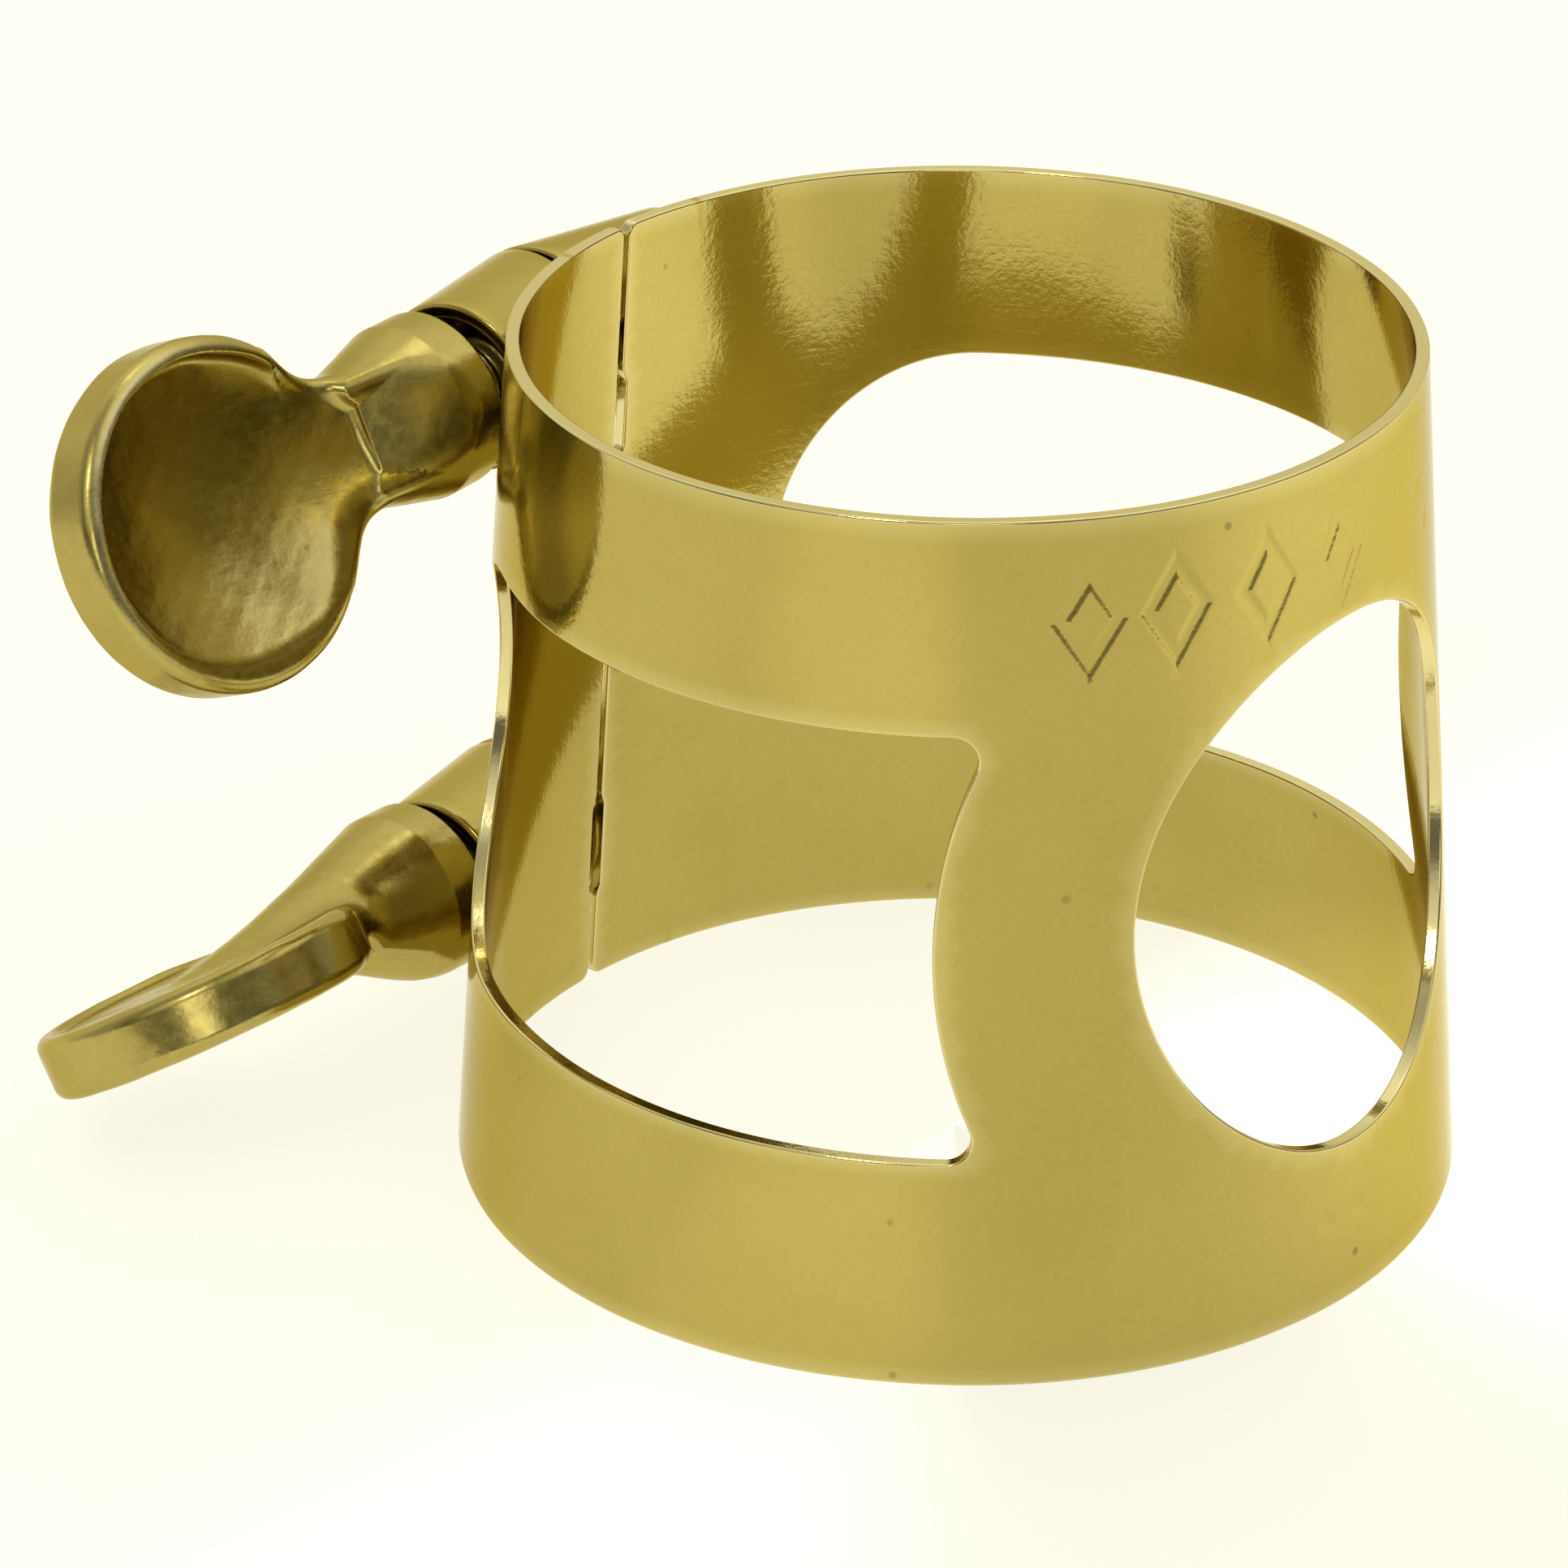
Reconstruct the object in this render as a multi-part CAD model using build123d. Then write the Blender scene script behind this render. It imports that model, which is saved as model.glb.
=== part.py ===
"""Two-screw saxophone ligature: a conical sheet-brass band, four barrels and two thumbscrews.

Row frame, in millimetres: the origin is on the band's axis in the plane of the wide rim, +Z runs
up to the narrow rim, +Y points to the gap between the barrels and +X runs along the screws, from
the thumb heads to the tips. Angles round the band are counted from the gap.
"""

from build123d import *
from math import cos, radians
import os

# Band
BAND_HEIGHT = 25.0
WIDE_RADIUS = 14.5  # outside, at the lower rim
NARROW_RADIUS = 12.7  # outside, at the upper rim
SHEET = 0.4
GAP = 0.22
SPLIT = 0.02  # parting line opposite the gap, where the band springs
LOWER_NOTCH = (3.0, 6.2, 0.5)  # low z, high z, whole width, shared by both edges of the gap
UPPER_NOTCH = (17.6, 20.3, 0.22)  # low z, high z, width cut into the far edge alone

# Cut-outs: two long side windows and a round one opposite the gap
WINDOW_LOW = 6.65
WINDOW_HIGH = 19.0
WINDOW_ROUND_ANGLE = 54.0  # from the gap to the centre of the window's round end
WINDOW_FAR_ANGLE = 125.0  # from the gap to the middle of the window's far edge
WINDOW_FAR_RADIUS = 13.2  # the far edge is an arc about the round window
WINDOW_OVERRUN = 12.0  # past the far edge's middle, to take in its corners
WINDOW_CORNER = 0.7
ROUND_WINDOW_Z = 12.55
ROUND_WINDOW_WIDTH = 14.3
ROUND_WINDOW_HEIGHT = 15.5

# Barrels
BARREL_RADIUS = 2.6
BARREL_SEAT = 0.1  # how far a barrel is dressed into the band's face
BARREL_TURN = 12.0  # each barrel lies along its own half of the band
HEAD_BARREL_BORE = 2.05
FAR_BARREL_LENGTH = 5.0
FAR_BARREL_BORE = 1.65
FAR_BORE_OFFSET = 0.15  # outward, so that the bore still clears the shank with the band open
SOLDER_HALF_WIDTH = 1.35
SOLDER_DEPTH = 3.6  # from the barrel's axis to beyond the band's face
SOLDER_END = 0.5  # how far the solder stops short of a barrel's outer end
SOLDER_GAP_END = 0.3  # and of the plane of the gap

# Thumbscrews, along their own axes, counted from the gap towards the head
SHANK_RADIUS = 1.25
SHANK_TIP = -5.7
TIP_CHAMFER = 0.35
SHANK_SOCKET = 3.0  # length of shank inside the head
MOUTH_RADIUS = 2.65
MOUTH_LENGTH = 1.7
MOUTH_CHAMFER = 0.15
NECK_RADIUS = 1.65
BELL_LENGTH = 5.6
NOSE_RADIUS = 0.9
NOSE_LENGTH = 7.2
PADDLE_CENTRE = 9.4  # from the bell's mouth
PADDLE_RADIUS = 5.0
PADDLE_THICKNESS = 2.0
PADDLE_ROUNDING = 0.7
DISH_RADIUS = 4.25
DISH_DEPTH = 0.55

SCREW_INSET = 0.55  # from the barrels' meeting point in to the screw axis

# The two levels. barrel_z and screw_z are heights in the plane of the gap, droop is how far the
# screw leans down towards its head, barrel_end and mouth are where the head barrel's end face and
# the bell's mouth cross the screw axis, end_lean is the end face's lean from square to the screw,
# and paddle_turn is the paddle's turn from lying flat.
LEVELS = [
    {
        "name": "upper",
        "barrel_z": 20.75,
        "screw_z": 20.75,
        "droop": 3.0,
        "barrel_end": 4.55,
        "end_lean": 6.0,
        "mouth": 4.98,
        "paddle_turn": 65.0,
    },
    {
        "name": "lower",
        "barrel_z": 4.4,
        "screw_z": 4.25,
        "droop": 0.0,
        "barrel_end": 4.6,
        "end_lean": 1.0,
        "mouth": 4.72,
        "paddle_turn": -32.0,
    },
]

FAR_REACH = 40.0  # longer than anything it cuts
CUTTER_REACH = 12.0  # depth of the cutter that shapes a window's far edge
WALL_SECTION = (8.0, 17.0)  # radii between which the side windows are cut


def outer_radius(z):
    """Outside radius of the band at height z."""
    return WIDE_RADIUS + (NARROW_RADIUS - WIDE_RADIUS) * z / BAND_HEIGHT


def cone(inset=0.0):
    """Solid cone that fills the band, its wall inset from the band's outer face."""
    solid = Cone(WIDE_RADIUS - inset, NARROW_RADIUS - inset, BAND_HEIGHT)
    return Pos(0, 0, BAND_HEIGHT / 2) * solid


def half_space(side):
    """Block on one side of the parting line, side being -1 or 1."""
    return Pos(side * (FAR_REACH + SPLIT) / 2, 0, 0) * Box(FAR_REACH, 2 * FAR_REACH, 2 * FAR_REACH)


def radial(angle_from_gap, z):
    """Place at height z whose local +Z points out from the band's axis."""
    return Pos(0, 0, z) * Rot(0, 0, 90 + angle_from_gap) * Rot(0, 90, 0)


def side_window():
    """Cutter for the window on the thumb-head side."""
    height = WINDOW_HIGH - WINDOW_LOW
    middle = (WINDOW_HIGH + WINDOW_LOW) / 2
    inside, outside = WALL_SECTION
    section = Plane.XZ * Pos((inside + outside) / 2, middle) * Rectangle(outside - inside, height)
    sweep = WINDOW_FAR_ANGLE + WINDOW_OVERRUN - WINDOW_ROUND_ANGLE
    body = Rot(0, 0, 90 + WINDOW_ROUND_ANGLE) * revolve(section, Axis.Z, sweep)
    wall = outer_radius(middle) - SHEET / 2
    far_edge = radial(WINDOW_FAR_ANGLE, middle) * Pos(0, WINDOW_FAR_RADIUS, wall)
    body -= far_edge * Cylinder(WINDOW_FAR_RADIUS, CUTTER_REACH)
    # the far corners are the only edges that run in through the wall behind the band's middle
    far_corners = [e for e in body.edges() if e.center().Y < 0 and 4 < e.length < 9.5]
    body = fillet(far_corners, WINDOW_CORNER)
    round_end = radial(WINDOW_ROUND_ANGLE, middle) * Cylinder(
        height / 2, FAR_REACH, align=(Align.CENTER, Align.CENTER, Align.MIN)
    )
    return body + round_end


def round_window():
    """Cutter for the oval window opposite the gap."""
    outline = Ellipse(ROUND_WINDOW_WIDTH / 2, ROUND_WINDOW_HEIGHT / 2)
    return extrude(Plane.XZ * Pos(0, ROUND_WINDOW_Z) * outline, FAR_REACH)


def notch(low, high, x_from, x_to):
    """Cutter for a notch in the edges of the gap."""
    return Pos((x_from + x_to) / 2, WIDE_RADIUS, (low + high) / 2) * Box(
        x_to - x_from, WIDE_RADIUS, high - low
    )


def band_halves():
    """The band, parted opposite the gap into the half with the heads and the far half."""
    band = cone() - cone(SHEET)
    window = side_window()
    band -= window
    band -= mirror(window, Plane.YZ)
    band -= round_window()
    band -= Pos(0, FAR_REACH / 2, BAND_HEIGHT / 2) * Box(GAP, FAR_REACH, 2 * BAND_HEIGHT)
    low, high, width = LOWER_NOTCH
    band -= notch(low, high, -width / 2, width / 2)
    low, high, width = UPPER_NOTCH
    band -= notch(low, high, 0, GAP / 2 + width)
    return band & half_space(-1), band & half_space(1)


def meeting_y(level):
    """Where the axes of a level's two barrels would meet in the plane of the gap."""
    touching = outer_radius(level["barrel_z"]) + BARREL_RADIUS - BARREL_SEAT
    return touching / cos(radians(BARREL_TURN))


def screw_place(level):
    """Frame on a screw's axis in the plane of the gap, local +X pointing to the tip."""
    y = meeting_y(level) - SCREW_INSET
    return Pos(0, y, level["screw_z"]) * Rot(0, -level["droop"], 0)


def along_x(radius, start, end):
    """Cylinder round the local X axis from start to end."""
    return Pos((start + end) / 2, 0, 0) * Rot(0, 90, 0) * Cylinder(radius, end - start)


def barrel_place(level, side):
    """Frame at the barrels' meeting point, local +X running out along the barrel of that side."""
    turn = 180 + BARREL_TURN if side < 0 else -BARREL_TURN
    return Pos(0, meeting_y(level), level["barrel_z"]) * Rot(0, 0, turn)


def gap_side_block(side, clear=GAP / 2):
    """Block that trims a piece square, clear of the plane of the gap."""
    middle = side * (clear + FAR_REACH / 2)
    return Pos(middle, FAR_REACH / 2, 0) * Box(FAR_REACH, FAR_REACH, 4 * FAR_REACH)


def head_barrel(level):
    """Plain tube under a thumb head; the screw passes it loosely."""
    place = barrel_place(level, -1)
    reach = 2 * level["barrel_end"]
    tube = place * (along_x(BARREL_RADIUS, -reach, reach) - along_x(HEAD_BARREL_BORE, -reach, reach))
    lean = Pos(-level["barrel_end"], 0, 0) * Rot(0, 0, level["end_lean"])
    keep = lean * Pos(FAR_REACH / 2, 0, 0) * Box(FAR_REACH, FAR_REACH, FAR_REACH)
    tube &= screw_place(level) * keep
    tube &= gap_side_block(-1)
    return tube - cone()


def far_barrel(level):
    """Barrel that takes the screw's thread, bored along the screw."""
    place = barrel_place(level, 1)
    blank = place * along_x(BARREL_RADIUS, -FAR_BARREL_LENGTH, FAR_BARREL_LENGTH)
    blank &= gap_side_block(1)
    bore = Pos(0, FAR_BORE_OFFSET, 0) * along_x(FAR_BARREL_BORE, -FAR_REACH, FAR_REACH)
    return blank - screw_place(level) * bore - cone()


def solder(level, side):
    """Fillets of solder above and below the line where a barrel touches the band."""
    barrel_length = FAR_BARREL_LENGTH if side > 0 else level["barrel_end"]
    length = barrel_length - SOLDER_END
    block = Box(length, SOLDER_DEPTH, 2 * SOLDER_HALF_WIDTH)
    fill = Pos(length / 2, -side * SOLDER_DEPTH / 2, 0) * block
    fill -= along_x(BARREL_RADIUS, -FAR_REACH, FAR_REACH)
    fill = barrel_place(level, side) * fill
    return fill & gap_side_block(side, SOLDER_GAP_END) - cone()


def thumb_head(level):
    """Cast thumb head: bell, neck and a dished round paddle."""
    mouth = level["mouth"]
    bell = Polyline(
        (0, 0),
        (0, MOUTH_RADIUS - MOUTH_CHAMFER),
        (-MOUTH_CHAMFER, MOUTH_RADIUS),
        (-MOUTH_LENGTH, MOUTH_RADIUS),
        (-BELL_LENGTH, NECK_RADIUS),
        (-NOSE_LENGTH, NOSE_RADIUS),
        (-NOSE_LENGTH, 0),
        close=True,
    )
    head = revolve(make_face(bell), Axis.X)
    paddle = Cylinder(PADDLE_RADIUS, PADDLE_THICKNESS)
    paddle = fillet(paddle.edges().filter_by(GeomType.CIRCLE), PADDLE_ROUNDING)
    dish_ball = (DISH_RADIUS**2 + DISH_DEPTH**2) / (2 * DISH_DEPTH)
    lift = PADDLE_THICKNESS / 2 + dish_ball - DISH_DEPTH
    paddle -= Pos(0, 0, lift) * Sphere(dish_ball)
    paddle -= Pos(0, 0, -lift) * Sphere(dish_ball)
    turn = Rot(level["paddle_turn"], 0, 0)
    head += turn * Pos(-PADDLE_CENTRE, 0, 0) * paddle
    head -= along_x(SHANK_RADIUS, -SHANK_SOCKET, 1)
    return screw_place(level) * Pos(-mouth, 0, 0) * head


def shank(level):
    """Screwed rod fixed in the head."""
    start = -level["mouth"] - SHANK_SOCKET
    rod = along_x(SHANK_RADIUS, start, -SHANK_TIP)
    tip = rod.faces().sort_by(Axis.X)[-1].edges()
    return screw_place(level) * chamfer(tip, TIP_CHAMFER)


def build():
    """All nodes by name."""
    nodes = {}
    nodes["band_near_half"], nodes["band_far_half"] = band_halves()
    for level in LEVELS:
        name = level["name"]
        nodes[f"{name}_head_barrel"] = head_barrel(level)
        nodes[f"{name}_threaded_barrel"] = far_barrel(level)
        nodes[f"{name}_head_barrel_solder"] = solder(level, -1)
        nodes[f"{name}_threaded_barrel_solder"] = solder(level, 1)
        nodes[f"{name}_thumb_head"] = thumb_head(level)
        nodes[f"{name}_screw_shank"] = shank(level)
    return nodes


os.makedirs("parts", exist_ok=True)
for node, shape in build().items():
    export_step(shape, f"parts/{node}.step")
    print(node, round(shape.volume, 2), len(shape.solids()), shape.is_valid)
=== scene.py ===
"""Looks of a two-screw saxophone ligature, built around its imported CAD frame.

Shapes are worked out in millimetres in the row frame and written in metres. Round the band, s is
the distance from the gap measured at mid radius, growing towards the side of the thumb heads, and
z is the height over the wide rim.
"""

import math

import bpy
import numpy as np
from mathutils import Matrix, Vector
from mathutils.geometry import delaunay_2d_cdt


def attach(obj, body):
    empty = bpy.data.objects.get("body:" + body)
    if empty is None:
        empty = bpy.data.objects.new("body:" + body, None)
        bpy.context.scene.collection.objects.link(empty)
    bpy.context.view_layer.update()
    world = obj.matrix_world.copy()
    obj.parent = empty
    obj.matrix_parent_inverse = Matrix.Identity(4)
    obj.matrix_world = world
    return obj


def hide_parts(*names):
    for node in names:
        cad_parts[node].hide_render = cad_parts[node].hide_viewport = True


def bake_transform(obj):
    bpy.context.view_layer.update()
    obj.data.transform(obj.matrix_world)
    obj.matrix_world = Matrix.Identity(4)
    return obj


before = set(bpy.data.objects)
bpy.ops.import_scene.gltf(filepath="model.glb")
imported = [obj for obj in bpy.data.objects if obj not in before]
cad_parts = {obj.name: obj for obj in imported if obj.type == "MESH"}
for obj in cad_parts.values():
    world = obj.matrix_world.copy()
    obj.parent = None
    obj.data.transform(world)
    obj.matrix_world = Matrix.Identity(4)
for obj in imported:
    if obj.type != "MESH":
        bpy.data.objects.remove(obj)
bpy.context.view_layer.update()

MM = 0.001

# ---- Dimensions, as in the CAD
BAND_HEIGHT = 25.0
WIDE_RADIUS = 14.5
NARROW_RADIUS = 12.7
MID_RADIUS = 13.6
SHEET = 0.4
GAP = 0.22

WINDOW_LOW = 6.65
WINDOW_HIGH = 19.0
WINDOW_ROUND_ANGLE = 54.0
WINDOW_FAR_ANGLE = 125.0
WINDOW_FAR_RADIUS = 13.2
WINDOW_CORNER = 0.7
ROUND_WINDOW_Z = 12.55
ROUND_WINDOW_WIDTH = 14.3
ROUND_WINDOW_HEIGHT = 15.5

BARREL_RADIUS = 2.6
BARREL_SEAT = 0.1
BARREL_TURN = 12.0
HEAD_BARREL_BORE = 2.05
FAR_BARREL_LENGTH = 5.0
FAR_BARREL_BORE = 1.65
FAR_BORE_OFFSET = 0.15

SHANK_RADIUS = 1.25
SHANK_TIP = -5.7
SHANK_SOCKET = 3.0
THREAD_PITCH = 0.6
THREAD_DEPTH = 0.33
SCREW_INSET = 0.55

LEVELS = [
    {
        "name": "upper",
        "barrel_z": 20.75,
        "screw_z": 20.75,
        "droop": 3.0,
        "barrel_end": 4.55,
        "end_lean": 6.0,
        "mouth": 4.98,
        "paddle_turn": 66.5,
    },
    {
        "name": "lower",
        "barrel_z": 4.4,
        "screw_z": 4.25,
        "droop": 0.0,
        "barrel_end": 4.6,
        "end_lean": 1.0,
        "mouth": 4.72,
        "paddle_turn": 148.0,
    },
]


# ---- Small helpers
def unit(v):
    """Unit vectors along the last axis."""
    return v / np.maximum(np.linalg.norm(v, axis=-1, keepdims=True), 1e-12)


def smooth_step(t):
    """Smooth rise from 0 to 1 as t goes from 0 to 1, held outside."""
    t = np.clip(t, 0.0, 1.0)
    return t * t * (3.0 - 2.0 * t)


def rotation(axis, degrees):
    """3 x 3 rotation about a row axis."""
    return np.array(Matrix.Rotation(math.radians(degrees), 3, axis))


def outer_radius(z):
    """Outside radius of the band at height z."""
    return WIDE_RADIUS + (NARROW_RADIUS - WIDE_RADIUS) * z / BAND_HEIGHT


def make_object(name, points, faces, normals=None, **attributes):
    """Smooth-shaded mesh object from points in millimetres."""
    mesh = bpy.data.meshes.new(name)
    mesh.from_pydata((np.asarray(points) * MM).tolist(), [], faces)
    mesh.polygons.foreach_set("use_smooth", [True] * len(mesh.polygons))
    for key, values in attributes.items():
        layer = mesh.attributes.new(key, "FLOAT", "POINT")
        layer.data.foreach_set("value", np.asarray(values, np.float32))
    mesh.update()
    if normals is not None:
        mesh.normals_split_custom_set_from_vertices(unit(np.asarray(normals)).tolist())
    obj = bpy.data.objects.new(name, mesh)
    bpy.context.scene.collection.objects.link(obj)
    return obj


def grid_faces(rows, columns, first=0):
    """Quads of a tube of points stored row by row, its last column joined to the first."""
    faces = []
    for i in range(rows - 1):
        for j in range(columns):
            k = (j + 1) % columns
            a = first + i * columns
            faces.append((a + j, a + k, a + columns + k, a + columns + j))
    return faces


# ---- The band
SEAM_ANGLE = 13.0  # where the lips at the gap join the long strip
SEAM_S = MID_RADIUS * math.radians(SEAM_ANGLE)
FULL_S = MID_RADIUS * 2 * math.pi
EDGE_ROUNDING = 0.07
EDGE_HOLD = 0.05
LIP_CORNER = 0.35
EDGE_STEP = 0.2
CORNER_STEP = 0.08
SHEET_STEP = 0.5
MARK_STEP = 0.075
SEAM_ROWS = 100
WEAR_WIDTH = 0.09  # how fast the burnishing fades away from an edge
SEAM_CLEAR = 0.05  # a seam's own points don't count as an edge
BLOCK = 2000  # points measured at a time

# notches in the edges of the gap: low z, high z and width cut from an edge
LOWER_NOTCH = (3.0, 6.2, 0.14)
UPPER_NOTCH = (17.6, 20.3, 0.2)
NOTCH_FADE = 0.4

# inset from the sheet's edge, depth under its outer face, and turn of the normal from facing out
SHEET_RINGS = [
    (EDGE_ROUNDING + EDGE_HOLD, 0.0, 0),
    (EDGE_ROUNDING, 0.0, 0),
    (EDGE_ROUNDING * 0.293, EDGE_ROUNDING * 0.293, 45),
    (0.0, EDGE_ROUNDING, 90),
    (0.0, SHEET - EDGE_ROUNDING, 90),
    (EDGE_ROUNDING * 0.293, SHEET - EDGE_ROUNDING * 0.293, 135),
    (EDGE_ROUNDING, SHEET, 180),
    (EDGE_ROUNDING + EDGE_HOLD, SHEET, 180),
]

# stamped marks: centre angle from the gap, centre height, half width, half height, in mm
LOZENGES = [
    (142.7, 22.15, 0.85, 1.25),
    (153.5, 22.15, 0.85, 1.25),
    (166.2, 22.15, 0.85, 1.25),
    (178.8, 22.15, 0.85, 1.25),
]
LOZENGE_STROKE = 0.26
LOZENGE_DEPTH = 0.05
DOTS = [
    (199.0, 22.4, 0.3),
    (202.5, 21.2, 0.3),
    (174.0, 2.7, 0.28),
    (179.5, 2.7, 0.28),
    (185.0, 2.7, 0.28),
]
DOT_DEPTH = 0.03


def mark_depth(s, z):
    """Depth of the stamped marks under the outer face."""
    depth = np.zeros_like(s)
    for angle, height, half_wide, half_high in LOZENGES:
        along = np.abs(s - MID_RADIUS * math.radians(angle)) / half_wide
        up = np.abs(z - height) / half_high
        slant = math.hypot(1 / half_wide, 1 / half_high)
        off = np.abs(along + up - 1.0) / slant
        depth += LOZENGE_DEPTH * smooth_step(1.2 - off / LOZENGE_STROKE)
    for angle, height, radius in DOTS:
        off = np.hypot(s - MID_RADIUS * math.radians(angle), z - height)
        depth += DOT_DEPTH * smooth_step(1.4 - off / radius)
    return depth


def ripple(s, z):
    """Slight waviness that bending leaves in thin sheet, outward."""
    u = s / MID_RADIUS
    wave = np.sin(5 * u + 0.9) * np.cos(0.21 * z + 0.4)
    wave += 0.6 * np.sin(9 * u - 1.7 + 0.12 * z)
    wave += 0.35 * np.sin(16 * u + 0.33 * z + 2.0)
    return 0.008 * wave


def sheet_point(s, z, depth):
    """Row-frame point of the sheet; depth 0 is its outer face, where the marks are stamped."""
    u = s / MID_RADIUS
    face = 1.0 - smooth_step(depth / (0.5 * SHEET))
    radius = outer_radius(z) - depth + ripple(s, z) - face * mark_depth(s, z)
    return np.stack([-radius * np.sin(u), radius * np.cos(u), z], axis=-1)


def sheet_frame(s, z, depth):
    """Outward normal and the two unit directions along the sheet, towards growing s and z."""
    small = 0.01
    along = sheet_point(s + small, z, depth) - sheet_point(s - small, z, depth)
    up = sheet_point(s, z + small, depth) - sheet_point(s, z - small, depth)
    return unit(np.cross(along, up)), unit(along), unit(up)


def angle_s(degrees, distance, z):
    """s at a tangential distance from the radial direction at an angle from the gap."""
    return MID_RADIUS * (math.radians(degrees) + np.arcsin(distance / outer_radius(z)))


def line(a, b, step=EDGE_STEP):
    """Points from a up to but not including b."""
    a, b = np.asarray(a, float), np.asarray(b, float)
    count = max(2, int(round(np.linalg.norm(b - a) / step)))
    return a + (b - a) * (np.arange(count) / count)[:, None]


def arc(angle, centre, radius, start, end, step=EDGE_STEP):
    """Points of an arc laid on the sheet, from start up to but not including end, in degrees."""
    count = max(3, int(round(abs(math.radians(end - start)) * radius / step)))
    t = np.radians(start + (end - start) * np.arange(count) / count)
    z = centre[1] + radius * np.sin(t)
    return np.stack([angle_s(angle, centre[0] + radius * np.cos(t), z), z], axis=-1)


def near_window():
    """Outline of the window on the thumb heads' side, counter-clockwise."""
    middle = (WINDOW_LOW + WINDOW_HIGH) / 2
    half = (WINDOW_HIGH - WINDOW_LOW) / 2
    corner_z = half - WINDOW_CORNER
    reach = math.sqrt((WINDOW_FAR_RADIUS + WINDOW_CORNER) ** 2 - corner_z**2)
    corner_d = WINDOW_FAR_RADIUS - reach
    lean = math.degrees(math.atan2(corner_z, reach))
    far = WINDOW_FAR_ANGLE
    low_centre, high_centre = (corner_d, middle - corner_z), (corner_d, middle + corner_z)
    low_corner = arc(far, low_centre, WINDOW_CORNER, -90, lean, CORNER_STEP)
    far_edge = arc(far, (WINDOW_FAR_RADIUS, middle), WINDOW_FAR_RADIUS, 180 + lean, 180 - lean)
    high_corner = arc(far, high_centre, WINDOW_CORNER, -lean, 90, CORNER_STEP)
    round_end = arc(WINDOW_ROUND_ANGLE, (0, middle), half, 90, 270)
    start_s = MID_RADIUS * math.radians(WINDOW_ROUND_ANGLE)
    low = line((start_s, WINDOW_LOW), low_corner[0])
    end_s = angle_s(far, corner_d, WINDOW_HIGH)
    high = line((end_s, WINDOW_HIGH), (start_s, WINDOW_HIGH))
    return np.vstack([low, low_corner, far_edge, high_corner, high, round_end])


def round_window():
    """Outline of the oval window opposite the gap, counter-clockwise."""
    t = np.radians(np.arange(0, 360, 1.5))
    z = ROUND_WINDOW_Z + ROUND_WINDOW_HEIGHT / 2 * np.sin(t)
    return np.stack([angle_s(180, ROUND_WINDOW_WIDTH / 2 * np.cos(t), z), z], axis=-1)


def gap_edge(z, far):
    """How far along the sheet an edge of the gap lies at each height, notches included."""

    def cut(low, high, width):
        rise = smooth_step((z - low + 0.15) / NOTCH_FADE)
        return width * (rise * smooth_step((high + 0.15 - z) / NOTCH_FADE))

    width = GAP / 2 + cut(*LOWER_NOTCH)
    if far:
        width = width + cut(*UPPER_NOTCH)
    return MID_RADIUS * np.arcsin(width / outer_radius(z))


def seam_heights():
    """Heights of the points along a seam, rims left out."""
    return np.arange(1, SEAM_ROWS) * (BAND_HEIGHT / SEAM_ROWS)


def with_normals(points, clockwise=False):
    """Loop of points and its unit normals into the material."""
    if clockwise:
        points = points[::-1]
    ahead = np.roll(points, -1, axis=0) - points
    behind = points - np.roll(points, 1, axis=0)
    tangent = unit(unit(ahead) + unit(behind))
    return points, np.stack([-tangent[:, 1], tangent[:, 0]], axis=-1)


def seam_points(s, upward):
    """Seam from rim to rim, with normals that keep it in place and its ends on the rims."""
    z = np.concatenate([[0.0], seam_heights(), [BAND_HEIGHT]])
    normals = np.zeros((len(z), 2))
    normals[0], normals[-1] = (0, 1), (0, -1)
    points = np.stack([np.full_like(z, s), z], axis=-1)
    return (points, normals) if upward else (points[::-1], normals[::-1])


def rim_points(start, end, z):
    """Points between two places on a rim, both left out, with normals into the sheet."""
    points = line((start, z), (end, z))[1:]
    return points, np.tile([0.0, 1.0 if z == 0 else -1.0], (len(points), 1))


def strip_loop():
    """The long strip between the two seams."""
    a, b = SEAM_S, FULL_S - SEAM_S
    parts = [
        rim_points(a, b, 0.0),
        seam_points(b, True),
        rim_points(b, a, BAND_HEIGHT),
        seam_points(a, False),
    ]
    return tuple(np.vstack(p) for p in zip(*parts))


def lip_loop(far):
    """The lip on one side of the gap, worked out on the near side and mirrored for the far one."""
    r = LIP_CORNER
    z = line((0, BAND_HEIGHT - r), (0, r))[:, 1]
    t = np.radians(np.arange(0, 90, 9))
    top_s, low_s = gap_edge(np.array([BAND_HEIGHT, 0.0]), far)
    top = np.stack([top_s + r - r * np.sin(t), BAND_HEIGHT - r + r * np.cos(t)], axis=-1)
    side = np.stack([gap_edge(z, far), z], axis=-1)
    low = np.stack([low_s + r - r * np.cos(t), r - r * np.sin(t)], axis=-1)
    corner = (low_s + r, 0.0)
    free = np.vstack([top, side, low, [corner]])
    tangent = np.gradient(free, axis=0)
    tangent[0], tangent[-1] = (-1, 0), (1, 0)
    tangent = unit(tangent)
    free_normals = np.stack([-tangent[:, 1], tangent[:, 0]], axis=-1)
    parts = [
        rim_points(corner[0], SEAM_S, 0.0),
        seam_points(SEAM_S, True),
        rim_points(SEAM_S, top_s + r, BAND_HEIGHT),
        (free, free_normals),
    ]
    points, normals = (np.vstack(p) for p in zip(*parts))
    if far:
        points = points[::-1] * (-1, 1)
        normals = normals[::-1] * (-1, 1)
    return points, normals


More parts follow.
